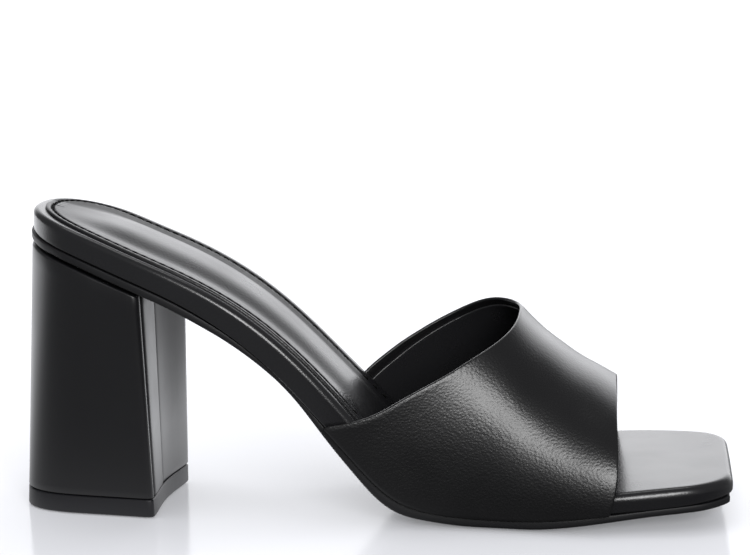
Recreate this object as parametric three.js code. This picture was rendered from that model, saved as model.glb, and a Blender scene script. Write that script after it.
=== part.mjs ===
// Open-toe mule with one wide strap, a covered footbed and a flared block heel: a right shoe.
// Millimetres. While it is built, x runs from the rearmost point of the heel to the toe along the
// heel's own axis, y is 0 on that axis and grows towards the medial side, z is 0 on the floor.
import * as THREE from "three";

// Driving sizes of the last and the sole
const length = 222.7; // rearmost point of the heel to the tip of the toe
const seatHeight = 95.0; // floor to the top of the footbed over the heel
const width = 80; // footbed over the ball, lateral edge to medial edge
const boardThickness = 7.3; // footbed under the heel, square to its surface
const boardTopRadius = 2.1;
const boardUnderRadius = 1.6;
const outsoleThickness = 3.4; // outsole under the heel
const outsoleBevel = 1;
const seatRounding = 26; // length of the rounded back of the seat
const heelRake = 4.6; // the footbed starts this far ahead of the rearmost point of the heel
const toeGap = 0.35; // from the outermost point of the toe to the straight front edge
const lateralCorner = { along: 13.6, across: 10.2 }; // rounding of the toe's two corners
const medialCorner = { along: 9.2, across: 9.6 };

// Strap
const strapWall = 2.0; // leather and lining together
const strapHeight = 61.4; // floor to the top of the strap at its back edge
const strapLean = 2; // the crest lies this far to the medial side of the middle
const strapFold = 0.5; // how far the folded edges bulge
const archSquareness = 2.3; // 2 is an ellipse, more is squarer

// Padded sock
const padInset = 3.2; // from the edge of the footbed
const padBackInset = 3.5; // and from its back
const padEdge = 0.65; // thickness at the stitched edge
const padDome = 1.1; // how much thicker it is in its middle
const padDomeRun = 22; // the dome rises over this length at both ends
const padLength = 147.7;
const padNose = 14; // length of its rounded front end, out of sight under the strap

// Heel and top piece
const topPieceHeight = 5.8;
const tipWidth = 42; // on the floor, at the breast
const heelLength = 45.5; // rearmost point to the breast, on the floor
const breastLean = 1.7; // and this much less under the seat
const soleProud = 0.7; // the outsole stands out this far behind the footbed
const heelTuck = 0.2; // and the back of the heel lies this far inside the outsole's
const breastHollow = 1.4; // how far the middle of the breast is set back
const breastTurn = 0.03; // slope of the breast in plan: its medial side lies further forward

const gap = 0.3; // clearance between neighbouring pieces

// Tables. along is a share of the length; rise of the height of the seat over the tread; thick of
// the board or outsole thickness; out and in of the width; ridge of the strap height.
const topLine = [
  { along: 0.0208, rise: 1.004 }, { along: 0.0355, rise: 1.0007 }, { along: 0.0529, rise: 0.9882 },
  { along: 0.0771, rise: 0.9679 }, { along: 0.1148, rise: 0.9351 }, { along: 0.1655, rise: 0.882 },
  { along: 0.2253, rise: 0.8188 }, { along: 0.2795, rise: 0.7522 }, { along: 0.3328, rise: 0.6685 },
  { along: 0.3865, rise: 0.5579 }, { along: 0.4255, rise: 0.4585 }, { along: 0.4666, rise: 0.3388 },
  { along: 0.497, rise: 0.2439 }, { along: 0.523, rise: 0.1603 }, { along: 0.5468, rise: 0.0937 },
  { along: 0.5728, rise: 0.044 }, { along: 0.6075, rise: 0.0136 }, { along: 0.6594, rise: 0.0011 },
  { along: 0.7028, rise: 0 }, { along: 0.7374, rise: 0.0044 }, { along: 0.7894, rise: 0.0191 },
  { along: 0.8544, rise: 0.0395 }, { along: 0.9194, rise: 0.0541 }, { along: 1, rise: 0.0666 },
];
const boardTable = [
  { along: 0.0208, thick: 0.965 }, { along: 0.1395, thick: 0.9716 }, { along: 0.2262, thick: 0.9782 },
  { along: 0.2955, thick: 1.0311 }, { along: 0.3562, thick: 1.0708 }, { along: 0.4428, thick: 1.084 },
  { along: 0.5208, thick: 0.9518 }, { along: 0.5945, thick: 0.846 }, { along: 0.7244, thick: 0.8196 },
  { along: 0.9194, thick: 0.8064 }, { along: 1, thick: 0.7535 },
];
const outsoleTable = [
  { along: 0.0208, thick: 0.9934 }, { along: 0.2522, thick: 0.9934 }, { along: 0.3128, thick: 1.0218 },
  { along: 0.4428, thick: 1.0218 }, { along: 0.5295, thick: 1.0218 }, { along: 0.6161, thick: 1.1069 },
  { along: 0.6941, thick: 1.1353 }, { along: 0.7678, thick: 1.0501 }, { along: 0.8414, thick: 0.965 },
  { along: 1, thick: 0.9082 },
];
const treadBoard = 0.8196; // the same shares where the shoe stands on its ball
const treadOutsole = 1.051;
const lateralTable = [
  { along: 0.0208, out: 0.3402 }, { along: 0.1395, out: 0.3426 }, { along: 0.1958, out: 0.3534 },
  { along: 0.2522, out: 0.3498 }, { along: 0.3042, out: 0.3402 }, { along: 0.3562, out: 0.3281 },
  { along: 0.4428, out: 0.304 }, { along: 0.5208, out: 0.269 }, { along: 0.5858, out: 0.2364 },
  { along: 0.6464, out: 0.2244 }, { along: 0.7114, out: 0.2256 }, { along: 0.7808, out: 0.2256 },
  { along: 0.8414, out: 0.2171 }, { along: 0.8847, out: 0.2002 }, { along: 0.9281, out: 0.1737 },
  { along: 0.9627, out: 0.146 }, { along: 1, out: 0.1146 },
];
const medialTable = [
  { along: 0.0208, in: 0.3402 }, { along: 0.1395, in: 0.3414 }, { along: 0.1958, in: 0.3414 },
  { along: 0.2522, in: 0.3281 }, { along: 0.3128, in: 0.3052 }, { along: 0.3562, in: 0.2895 },
  { along: 0.3908, in: 0.2823 }, { along: 0.4211, in: 0.2895 }, { along: 0.4601, in: 0.3257 },
  { along: 0.5035, in: 0.3981 }, { along: 0.5468, in: 0.4825 }, { along: 0.5901, in: 0.5645 },
  { along: 0.6378, in: 0.6441 }, { along: 0.6811, in: 0.6996 }, { along: 0.7244, in: 0.7334 },
  { along: 0.7678, in: 0.7479 }, { along: 0.8111, in: 0.7479 }, { along: 0.8544, in: 0.7358 },
  { along: 0.9281, in: 0.6924 }, { along: 1, in: 0.6393 },
];
// How far the outsole stands back from the footbed's edge, and how much higher the edge of its
// underside is than the middle: both as shares of its thickness.
const outsoleEdge = [
  { along: 0, set: 0, crown: 0 }, { along: 0.215, set: 0, crown: 0 },
  { along: 0.245, set: 0.03, crown: 0.01 }, { along: 0.274, set: 0.07, crown: 0.03 },
  { along: 0.3, set: 0.18, crown: 0.12 }, { along: 0.328, set: 0.3, crown: 0.2 },
  { along: 0.355, set: 0.41, crown: 0.3 }, { along: 0.383, set: 0.53, crown: 0.38 },
  { along: 0.41, set: 0.47, crown: 0.35 }, { along: 0.436, set: 0.24, crown: 0.18 },
  { along: 0.464, set: -0.03, crown: 0.05 }, { along: 0.5, set: -0.18, crown: 0 },
  { along: 0.54, set: -0.2, crown: 0 }, { along: 0.6, set: -0.2, crown: 0 },
  { along: 0.7, set: -0.235, crown: 0 }, { along: 0.8, set: -0.235, crown: 0 },
  { along: 0.84, set: 0, crown: 0 }, { along: 0.88, set: 0.235, crown: 0 },
  { along: 0.94, set: 0.325, crown: 0 }, { along: 1, set: 0.35, crown: 0 },
];
// The arch of the strap: the height its top would have at each place, if it were not cut away.
const ridgeTable = [
  { along: 0.4081, ridge: 2.106 }, { along: 0.4428, ridge: 1.9646 }, { along: 0.4861, ridge: 1.7917 },
  { along: 0.5555, ridge: 1.5245 }, { along: 0.6161, ridge: 1.2888 }, { along: 0.6594, ridge: 1.1285 },
  { along: 0.6963, ridge: 0.9964 }, { along: 0.7244, ridge: 0.8911 }, { along: 0.7548, ridge: 0.8015 },
  { along: 0.7808, ridge: 0.734 }, { along: 0.8111, ridge: 0.6727 }, { along: 0.8414, ridge: 0.6082 },
];
// The strap's two cut edges: round runs over the foot from the lateral (0) to the medial side (1).
const strapEdges = [
  { round: 0, back: 0.4445, front: 0.832 }, { round: 0.012, back: 0.461, front: 0.834 },
  { round: 0.033, back: 0.4848, front: 0.837 }, { round: 0.1, back: 0.5462, front: 0.8415 },
  { round: 0.1667, back: 0.6038, front: 0.842 }, { round: 0.2, back: 0.6258, front: 0.8415 },
  { round: 0.3, back: 0.6722, front: 0.839 }, { round: 0.4, back: 0.6932, front: 0.838 },
  { round: 0.45, back: 0.6965, front: 0.837 }, { round: 0.5, back: 0.6965, front: 0.836 },
  { round: 0.6, back: 0.685, front: 0.836 }, { round: 0.7, back: 0.646, front: 0.836 },
  { round: 0.8, back: 0.59, front: 0.836 }, { round: 0.9, back: 0.515, front: 0.836 },
  { round: 0.9333, back: 0.492, front: 0.836 }, { round: 0.9667, back: 0.469, front: 0.835 },
  { round: 0.988, back: 0.453, front: 0.834 }, { round: 1, back: 0.441, front: 0.832 },
];
// The heel in plan, on the floor and under the seat: half its width at the back and at the breast
// (shares of the tip width or the width), and how much of its length the round back takes.
const heelPlans = {
  floor: { atBack: 0.4375, atBreast: 0.5, round: 0.53, power: 3.1 },
  seat: { atBack: 0.338, atBreast: 0.346, round: 0.64, power: 2.3 },
};
const breastCorner = 0.06; // rounding of the breast's two corners, as a share of the plan

// Curves through the tables

// A natural cubic spline through one column of a table.
function spline(table, across, column) {
  const x = table.map((row) => row[across]);
  const y = table.map((row) => row[column]);
  const n = x.length;
  const bend = new Array(n).fill(0);
  const carry = new Array(n).fill(0);
  for (let i = 1; i < n - 1; i++) {
    const share = (x[i] - x[i - 1]) / (x[i + 1] - x[i - 1]);
    const p = share * bend[i - 1] + 2;
    const turn = (y[i + 1] - y[i]) / (x[i + 1] - x[i]) - (y[i] - y[i - 1]) / (x[i] - x[i - 1]);
    bend[i] = (share - 1) / p;
    carry[i] = ((6 * turn) / (x[i + 1] - x[i - 1]) - share * carry[i - 1]) / p;
  }
  for (let i = n - 2; i >= 0; i--) {
    bend[i] = bend[i] * bend[i + 1] + carry[i];
  }
  return (at) => {
    const q = Math.min(Math.max(at, x[0]), x[n - 1]);
    let i = 0;
    while (i < n - 2 && x[i + 1] < q) i++;
    const h = x[i + 1] - x[i];
    const a = (x[i + 1] - q) / h;
    const b = (q - x[i]) / h;
    return a * y[i] + b * y[i + 1] + (((a ** 3 - a) * bend[i] + (b ** 3 - b) * bend[i + 1]) * h * h) / 6;
  };
}

const riseShare = spline(topLine, "along", "rise");
const boardShare = spline(boardTable, "along", "thick");
const outsoleShare = spline(outsoleTable, "along", "thick");
const outShare = spline(lateralTable, "along", "out");
const inShare = spline(medialTable, "along", "in");
const setShare = spline(outsoleEdge, "along", "set");
const crownShare = spline(outsoleEdge, "along", "crown");
const ridgeShare = spline(ridgeTable, "along", "ridge");
const backShare = spline(strapEdges, "round", "back");
const frontShare = spline(strapEdges, "round", "front");

const clamp = (value, low, high) => Math.min(Math.max(value, low), high);

// The side profile. Thicknesses are square to the surface, so each is stretched by the slope.
const treadHeight = boardThickness * treadBoard + outsoleThickness * treadOutsole;
const topAt = (x) => treadHeight + (seatHeight - treadHeight) * riseShare(x / length);
const slopeAt = (x) => (topAt(x + 0.3) - topAt(x - 0.3)) / 0.6;
const stretchAt = (x) => Math.hypot(1, slopeAt(x));
const boardAt = (x) => boardThickness * boardShare(x / length);
const outsoleAt = (x) => outsoleThickness * outsoleShare(x / length);
const boardBottomAt = (x) => topAt(x) - boardAt(x) * stretchAt(x);
const floorLineAt = (x) => Math.max(0, topAt(x) - (boardAt(x) + outsoleAt(x)) * stretchAt(x));

// The plan outline. The seat is rounded at the back and the toe has two rounded corners.
const heelX = heelRake;
const toeX = length - toeGap;
const seatPower = 2.25;
function seatShare(x) {
  const t = clamp((heelX + seatRounding - x) / seatRounding, 0, 1);
  return (1 - t ** seatPower) ** (1 / seatPower);
}
function toeCorner(x, { along, across }) {
  const t = clamp((x - toeX + along) / along, 0, 1);
  return across * (1 - Math.sqrt(1 - t * t));
}
const lateralAt = (x) => -width * outShare(x / length) * seatShare(x) + toeCorner(x, lateralCorner);
const medialAt = (x) => width * inShare(x / length) * seatShare(x) - toeCorner(x, medialCorner);

// Building closed meshes

class Mesher {
  constructor() {
    this.points = [];
    this.faces = [];
  }
  point(x, y, z) {
    this.points.push(x, y, z);
    return this.points.length / 3 - 1;
  }
  quad(a, b, c, d) {
    this.faces.push(a, b, c, a, c, d);
  }
  // Joins two closed rings of the same count; the second lies ahead when the first turns
  // anticlockwise seen from it.
  band(first, second) {
    const n = first.length;
    for (let i = 0; i < n; i++) {
      const j = (i + 1) % n;
      this.quad(first[i], first[j], second[j], second[i]);
    }
  }
  // Joins two open rows that may differ in count.
  between(first, second, up) {
    let i = 0;
    let j = 0;
    while (i < first.length - 1 || j < second.length - 1) {
      const nextFirst = (i + 1) / (first.length - 1);
      const nextSecond = (j + 1) / (second.length - 1);
      const moveFirst = j === second.length - 1 || (i < first.length - 1 && nextFirst < nextSecond);
      const third = moveFirst ? first[i + 1] : second[j + 1];
      if (up) this.faces.push(first[i], second[j], third);
      else this.faces.push(first[i], third, second[j]);
      if (moveFirst) i++;
      else j++;
    }
  }
  mesh(name, material) {
    const geometry = new THREE.BufferGeometry();
    geometry.setAttribute("position", new THREE.Float32BufferAttribute(this.points, 3));
    geometry.setIndex(this.faces);
    geometry.computeVertexNormals();
    const made = new THREE.Mesh(geometry, material);
    made.name = name;
    return made;
  }
}

function finish(color, roughness) {
  return new THREE.MeshStandardMaterial({ color, roughness, metalness: 0 });
}

const turnRun = 8.2; // length of the close stations at each end

// Places along a plate. Between the ends all plates share them, so that stacked plates keep their
// clearance; they lie closer where the profile bends hardest, and closest where the outline turns.
function stations(from, to) {
  const ends = [0, 0.018, 0.073, 0.17, 0.3, 0.49, 0.72, 1].map((t) => t * turnRun);
  const reach = 1.16 * turnRun;
  const list = ends.map((d) => from + d);
  let share = 0.04;
  while (share < 0.98) {
    const x = share * length;
    if (x > from + reach && x < to - reach) list.push(x);
    share += share > 0.479 && share < 0.609 ? 0.01 : 0.02;
  }
  list.push(...ends.map((d) => to - d).reverse());
  return list;
}

const level = () => 0;
const endNick = 0.02; // plates start a hair inside the round end, where their width is not yet nothing

// A curved plate that follows the profile. rings go from the middle of the top, round the edge, to
// the middle of the underside: each has how far it is set in and a height function of x.
function plate(name, material, { xs, lateral, medial, rings, columns, rise, sink }) {
  const m = new Mesher();
  const n = xs.length;
  const side = [];
  for (let i = 0; i < n; i++) side.push([xs[i], lateral(xs[i])]);
  for (let i = n - 1; i >= 0; i--) side.push([xs[i], medial(xs[i])]);
  const total = side.length;
  const inward = side.map((p, i) => {
    const a = side[(i + total - 1) % total];
    const b = side[(i + 1) % total];
    const d = Math.hypot(b[0] - a[0], b[1] - a[1]);
    return [-(b[1] - a[1]) / d, (b[0] - a[0]) / d];
  });
  const made = rings.map(({ inset, z }) =>
    side.map(([x, y], i) => {
      const px = x + inward[i][0] * inset;
      return m.point(px, y + inward[i][1] * inset, z(px));
    }),
  );
  for (let r = 1; r < made.length; r++) m.band(made[r], made[r - 1]);
  // The flat of the top and of the underside: rungs across, with columns between their ends. The
  // first and the last rung are edges of the wall, so they stay whole.
  const cap = (ring, z, lift, up) => {
    let last = null;
    for (let i = 0; i < n; i++) {
      const l = ring[i];
      const r = ring[total - 1 - i];
      const row = [l];
      const inside = i > 0 && i < n - 1 ? columns : 1;
      for (let c = 1; c < inside; c++) {
        const t = c / inside;
        const x = m.points[3 * l] * (1 - t) + m.points[3 * r] * t;
        const y = m.points[3 * l + 1] * (1 - t) + m.points[3 * r + 1] * t;
        row.push(m.point(x, y, z(x) + lift(x, 2 * t - 1)));
      }
      row.push(r);
      if (last) m.between(last, row, up);
      last = row;
    }
  };
  cap(made[0], rings[0].z, rise, true);
  cap(made[made.length - 1], rings[rings.length - 1].z, sink, false);
  return m.mesh(name, material);
}

// The covered footbed: a board wrapped in leather, its top and bottom edges rounded.
function footbed() {
  const down = (depth) => (x) => topAt(x) - depth * stretchAt(x);
  const up = (depth) => (x) => boardBottomAt(x) + depth * stretchAt(x);
  const top = Math.min(boardTopRadius, boardThickness * 0.35);
  const under = Math.min(boardUnderRadius, boardThickness * 0.3);
  const third = 1 - Math.cos(Math.PI / 6); // the two middle points of a quarter circle
  const rings = [
    { inset: top, z: topAt },
    { inset: top * 0.5, z: down(top * third) },
    { inset: top * third, z: down(top * 0.5) },
    { inset: 0, z: down(top) },
    { inset: 0, z: up(under) },
    { inset: under * 0.28, z: up(under * 0.31) },
    { inset: under * 0.94, z: up(0) },
  ];
  return plate("footbed", finish(0x1d1d21, 0.4), {
    xs: stations(heelX + endNick, toeX),
    lateral: lateralAt,
    medial: medialAt,
    rings,
    columns: 2,
    rise: level,
    sink: level,
  });
}

// The outsole: flush with the heel under the seat, set back and crowned below in the waist,
// flat on the floor under the ball, turned up a little at the toe.
function outsole() {
  const proudRun = 40; // it comes in to the footbed's edge over this length
  const toeSet = 1.6; // and ends this far short of the footbed's front edge
  const proudAt = (x) => soleProud * clamp(1 - (x - heelX) / proudRun, 0, 1);
  const set = (x) => outsoleThickness * setShare(x / length);
  const crown = (x) => outsoleAt(x) * Math.max(crownShare(x / length), 0) * stretchAt(x);
  const roof = (x) => boardBottomAt(x) - gap * stretchAt(x);
  const bottom = (x) => floorLineAt(x) + crown(x);
  const edge = (x) => Math.min(bottom(x) + outsoleBevel, roof(x) - 0.6 * outsoleBevel);
  const rings = [
    { inset: 0, z: roof },
    { inset: 0, z: edge },
    { inset: 0.9 * outsoleBevel, z: bottom },
  ];
  return plate("outsole", finish(0x131315, 0.7), {
    xs: stations(heelX - soleProud + endNick, toeX - toeSet),
    lateral: (x) => lateralAt(x + proudAt(x)) + set(x),
    medial: (x) => medialAt(x + proudAt(x)) - set(x),
    rings,
    columns: 4,
    rise: level,
    sink: (x, t) => -crown(x) * (1 - t * t),
  });
}

// The padded sock, domed over the middle, stitched down near its edge.
function sockPad() {
  const from = heelX + padBackInset;
  const to = from + padLength;
  const back = padBackInset * 0.85; // its rounded back is the seat's, moved forwards by this
  const nose = (x) => Math.sqrt(1 - 0.97 * clamp((x - to + padNose) / padNose, 0, 1) ** 2);
  const middle = (x) => (lateralAt(x) + medialAt(x)) / 2;
  const half = (x) => ((medialAt(x - back) - lateralAt(x - back)) / 2 - padInset) * nose(x);
  const base = (x) => topAt(x) + gap * stretchAt(x);
  const dome = (x) => {
    const t = clamp((x - from) / padDomeRun, 0, 1) * clamp((to - x) / padDomeRun, 0, 1);
    return padDome * t * (2 - t);
  };
  const rings = [
    { inset: padEdge * 0.75, z: (x) => base(x) + padEdge * stretchAt(x) },
    { inset: 0, z: (x) => base(x) + padEdge * 0.45 * stretchAt(x) },
    { inset: 0, z: base },
  ];
  return plate("sock_pad", finish(0x222226, 0.36), {
    xs: stations(from + endNick, to),
    lateral: (x) => middle(x) - half(x),
    medial: (x) => middle(x) + half(x),
    rings,
    columns: 6,
    rise: (x, t) => dome(x) * stretchAt(x) * (1 - t * t),
    sink: level,
  });
}

// The strap: an arch from one edge of the footbed to the other, cut to a sloping back edge. Its
// wall stands clear of the footbed's, a little more where the outline runs aslant.
function strapPoint(x, turn) {
  const clear = 1.15 * gap + strapWall;
  const slant = (edge) => Math.hypot(1, edge(x + 0.5) - edge(x - 0.5));
  const lateral = lateralAt(x) - clear * slant(lateralAt);
  const medial = medialAt(x) + clear * slant(medialAt);
  const crest = (lateralAt(x) + medialAt(x)) / 2 + strapLean;
  const base = boardBottomAt(x);
  const rise = strapHeight * ridgeShare(x / length) - base;
  const across = Math.cos(turn);
  const reach = Math.sign(across) * Math.abs(across) ** (2 / archSquareness);
  const y = crest + (across > 0 ? lateral - crest : crest - medial) * reach;
  return new THREE.Vector3(x, y, base + rise * Math.abs(Math.sin(turn)) ** (2 / archSquareness));
}
function strapOuter(round, share) {
  const from = backShare(round) * length;
  const to = frontShare(round) * length;
  return strapPoint(from + (to - from) * share, Math.PI * round);
}
// The arch's own normal, outwards.
function strapNormal(x, turn) {
  const step = 0.004;
  const before = Math.max(turn - step, 0);
  const after = Math.min(turn + step, Math.PI);
  const over = strapPoint(x, after).sub(strapPoint(x, before));
  const ahead = strapPoint(x + 0.25, turn).sub(strapPoint(x - 0.25, turn));
  return new THREE.Vector3().crossVectors(ahead, over).normalize();
}
// Places round the arch, closest at its two feet, where it turns most.
function strapPlaces(count) {
  const foot = [0, 0.006, 0.014, 0.024];
  const arch = [];
  for (let i = 0; i <= count; i++) {
    const t = i / count;
    arch.push(0.036 + 0.928 * (0.6 * t + 0.2 * (1 - Math.cos(Math.PI * t))));
  }
  return [...foot, ...arch, ...foot.map((t) => 1 - t).reverse()];
}
function upper() {
  const m = new Mesher();
  const rows = 13;
  const midway = (a, b, ahead) => a.clone().add(b).multiplyScalar(0.5).setX((a.x + b.x) / 2 + ahead);
  const sections = strapPlaces(34).map((round) => {
    const outer = [];
    const inner = [];
    for (let k = 0; k <= rows; k++) {
      const p = strapOuter(round, k / rows);
      outer.push(p);
      inner.push(p.clone().addScaledVector(strapNormal(p.x, Math.PI * round), -strapWall));
    }
    const front = midway(outer[rows], inner[rows], strapFold);
    const back = midway(outer[0], inner[0], -strapFold);
    const loop = [...outer, front, ...inner.reverse(), back];
    return loop.map((p) => m.point(p.x, p.y, p.z));
  });
  for (let i = 1; i < sections.length; i++) m.band(sections[i - 1], sections[i]);
  // The two feet: quads between the outer and the inner row, and a triangle at each folded edge.
  const close = (ring, forwards) => {
    const n = ring.length;
    for (let k = 0; k < rows; k++) {
      const [a, b, c, d] = [ring[k], ring[k + 1], ring[n - 3 - k], ring[n - 2 - k]];
      if (forwards) m.quad(a, b, c, d);
      else m.quad(d, c, b, a);
    }
    const tips = [
      [ring[rows], ring[rows + 1], ring[rows + 2]],
      [ring[n - 2], ring[n - 1], ring[0]],
    ];
    for (const tip of tips) m.faces.push(...(forwards ? tip : tip.reverse()));
  };
  close(sections[0], false);
  close(sections[sections.length - 1], true);
  return m.mesh("upper", finish(0x1b1b1f, 0.42));
}

// The block heel and its top piece share one set of straight lines from the floor to the seat.
// share runs along the plan: 0 is the back, 1 the breast.
function heelPlan(share, { atBack, atBreast, round, power }, span, back, breast) {
  const half = span * (atBack + (atBreast - atBack) * share);
  const t = clamp((round - share) / round, 0, 1);
  const corner = clamp((share - 1 + breastCorner) / breastCorner, 0, 1);
  const narrow = 1 - breastCorner * (1 - Math.sqrt(1 - corner * corner));
  return [back + (breast - back) * share, half * narrow * (1 - t ** power) ** (1 / power)];
}
// The places round the heel: both sides, then the hollow breast.
function heelRing() {
  const back = [0, 0.004, 0.018, 0.045, 0.09, 0.15, 0.23, 0.33, 0.45];
  const shares = [...back, 0.58, 0.71, 0.84, 0.925, 0.968, 0.991, 1];
  const side = (sign) => shares.map((share) => ({ share, across: sign, hollow: 0 }));
  const breast = [];
  const steps = 12;
  for (let k = 1; k < steps; k++) {
    const across = 1 - (2 * k) / steps;
    breast.push({ share: 1, across, hollow: Math.cos((Math.PI / 2) * across) ** 1.6 });
  }
  return [...side(-1).reverse().slice(0, -1), ...side(1), ...breast].reverse();
}
// A point of the ring at a height, on a straight line from the floor ring to the seat ring. With no
// height it lies under the outsole.
function heelPoint(place, height) {
  const at = (plan, span, back, breast) => {
    const [x, half] = heelPlan(place.share, plan, span, back, breast);
    const y = place.across * half;
    return [x - breastHollow * place.hollow + breastTurn * place.share * y, y];
  };
  const floor = at(heelPlans.floor, tipWidth, 0, heelLength);
  const seat = at(heelPlans.seat, width, heelX - soleProud + heelTuck, heelLength - breastLean);
  const top = floorLineAt(seat[0]) - gap;
  const z = height === undefined ? top : height;
  const f = z / top;
  return [floor[0] + (seat[0] - floor[0]) * f, floor[1] + (seat[1] - floor[1]) * f, z];
}
function heelSolid(name, material, heights) {
  const m = new Mesher();
  const places = heelRing();
  const rings = heights.map((height) => places.map((place) => m.point(...heelPoint(place, height))));
  for (let r = 1; r < rings.length; r++) m.band(rings[r - 1], rings[r]);
  const cap = (ring, up) => {
    const flat = ring.map((i) => new THREE.Vector2(m.points[3 * i], m.points[3 * i + 1]));
    const turns = THREE.ShapeUtils.area(flat) > 0;
    for (const [a, b, c] of THREE.ShapeUtils.triangulateShape(flat, [])) {
      if (up === turns) m.faces.push(ring[a], ring[b], ring[c]);
      else m.faces.push(ring[a], ring[c], ring[b]);
    }
  };
  cap(rings[rings.length - 1], true);
  cap(rings[0], false);
  return m.mesh(name, material);
}
function heel() {
  const bottom = topPieceHeight + gap;
  const middle = (share) => bottom + (seatHeight - bottom) * share;
  return heelSolid("heel", finish(0x1e1e23, 0.38), [bottom, middle(0.27), middle(0.55), undefined]);
}
function topPiece() {
  return heelSolid("top_piece", finish(0x17181b, 0.6), [0, topPieceHeight]);
}

const group = new THREE.Group();
group.name = "block_heel_mule";
group.add(outsole(), footbed(), sockPad(), upper(), heel(), topPiece());

// The part's own frame: the middle of its footprint, on the floor.
const bounds = new THREE.Box3().setFromObject(group);
const centre = bounds.getCenter(new THREE.Vector3());
for (const piece of group.children) {
  piece.position.set(-centre.x, -centre.y, 0);
}

export default group;
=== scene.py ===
"""Black square-toe mule with a block heel, in a pale studio.

Shapes are worked out in millimetres in the part's own frame, from the CAD nodes, and made in metres.
"""

import math

import bpy
import numpy as np
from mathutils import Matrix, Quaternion, Vector
from mathutils.bvhtree import BVHTree


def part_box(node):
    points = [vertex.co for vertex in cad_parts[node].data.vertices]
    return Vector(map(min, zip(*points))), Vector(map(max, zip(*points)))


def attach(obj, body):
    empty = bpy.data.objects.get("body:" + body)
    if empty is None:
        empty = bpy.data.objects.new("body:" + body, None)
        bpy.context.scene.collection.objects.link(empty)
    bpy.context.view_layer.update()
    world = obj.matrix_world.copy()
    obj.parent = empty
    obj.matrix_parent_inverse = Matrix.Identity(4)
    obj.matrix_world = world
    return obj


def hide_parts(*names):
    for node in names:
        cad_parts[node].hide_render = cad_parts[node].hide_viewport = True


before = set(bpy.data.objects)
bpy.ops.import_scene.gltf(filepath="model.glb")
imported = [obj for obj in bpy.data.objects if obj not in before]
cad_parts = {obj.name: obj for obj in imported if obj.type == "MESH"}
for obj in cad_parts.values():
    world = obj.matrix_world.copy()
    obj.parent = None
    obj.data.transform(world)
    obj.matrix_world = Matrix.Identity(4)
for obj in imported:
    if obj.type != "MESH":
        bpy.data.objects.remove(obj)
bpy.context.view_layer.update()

MM = 0.001

# Reading the CAD plates
RING_DEPTH = 0.3  # a station this far inside the outline belongs to an inner ring
BEVEL = 2.5  # the plates' ends are bevelled over less than this length
END_BULGES = (-0.06, 0.1)  # the flat back and front ends are given this slight curve
END_SHARES = (0.96, 0.88, 0.76, 0.6, 0.42, 0.24, 0.08)  # lines that close up those ends
CORNER_FADE = (14, 8)  # rings begin to shrink between these distances from the front end
CORNER_REACH = 20  # and the shift along x grows to full over this length

# Sock
PITCH = 2.9  # one stitch and its gap, in plan
STITCH_INSET = 2.1  # from the sock's lateral edge
STITCH_SHARE = 0.78  # a stitch's length, as a share of the pitch
STITCH_LIFT = 0.74  # the thread's height over the board
THREAD_RADIUS = 0.3
# One stitch from end to end: the place, and the share of the thread's radius there
STITCH_SHAPE = ((-1, 0.25), (-0.75, 0.8), (-0.3, 1), (0.3, 1), (0.75, 0.8), (1, 0.25))
# The leather waves along the stitches: the height of the waves, and how far they reach
PLEATS_OUTSIDE = (0.05, 0.5)
PLEATS_INSIDE = (0.09, 1.8)
WIDE_BORDER = 1.0  # the border grows by this share on the medial side
WIDE_ACROSS = (-4, 14)  # between these distances from the middle of the sock
WIDE_ENDS = (3, 26)  # and between these distances from its ends
# The cushion: its height, where its crest lies from the middle of the sock, and how far it reaches
# to the medial and the lateral side, as shares of the stitched half width
CUSHION_RISE = 2.1
CUSHION_CREST = -0.09
CUSHION_MEDIAL = (0.58, 2.2)  # reach, and how long the slope stays level
CUSHION_LATERAL = (0.8, 1.7)
CUSHION_START = (5, 30)  # it rises between these distances from the back of the sock
CUSHION_END = (2, 16)  # and falls off between these from its front end
# Slack leather on the cushion's medial side, between these shares, and less so round the back
SLACK_BEGINS = (0.08, 0.42)
SLACK_ENDS = (0.82, 0.92)
SLACK_BACK = 0.45
# The sock's border: distance in from its edge, and height over the board
SOCK_BORDER = (
    (0.0, 0.02), (0.02, 0.32), (0.1, 0.54), (0.28, 0.7), (0.6, 0.78), (1.1, 0.8), (1.35, 0.74),
    (1.53, 0.6), (1.68, 0.42), (1.85, 0.28), (2.1, 0.22), (2.35, 0.28), (2.52, 0.42),
    (2.68, 0.6), (2.85, 0.72), (3.1, 0.78), (3.5, 0.8), (4.0, 0.8), (4.7, 0.8), (5.4, 0.82),
)

# Footbed
RIM_RADIUS = 2.1
RIM_FLAT = 0.8  # a level ring inside the rounded edge
TOE_RIM_DEPTH = 3.0  # at the toe the edge is rounded over this height
TOE_RIM_FADE = (60, 88)  # it grows to that between these places along x
UNDER_RADIUS = 0.6
TOE_UNDER_RADIUS = 1.2
TOE_UNDER_FADE = (88, 104)

# Outsole
SOLE_SINK = 0.15  # its wall ends this far under the solid's top
TOE_SOLE_OUT = 0.6  # at the toe its edge stands out and up by these
TOE_SOLE_UP = 0.2
TOE_SOLE_FADE = (86, 104)

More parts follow.
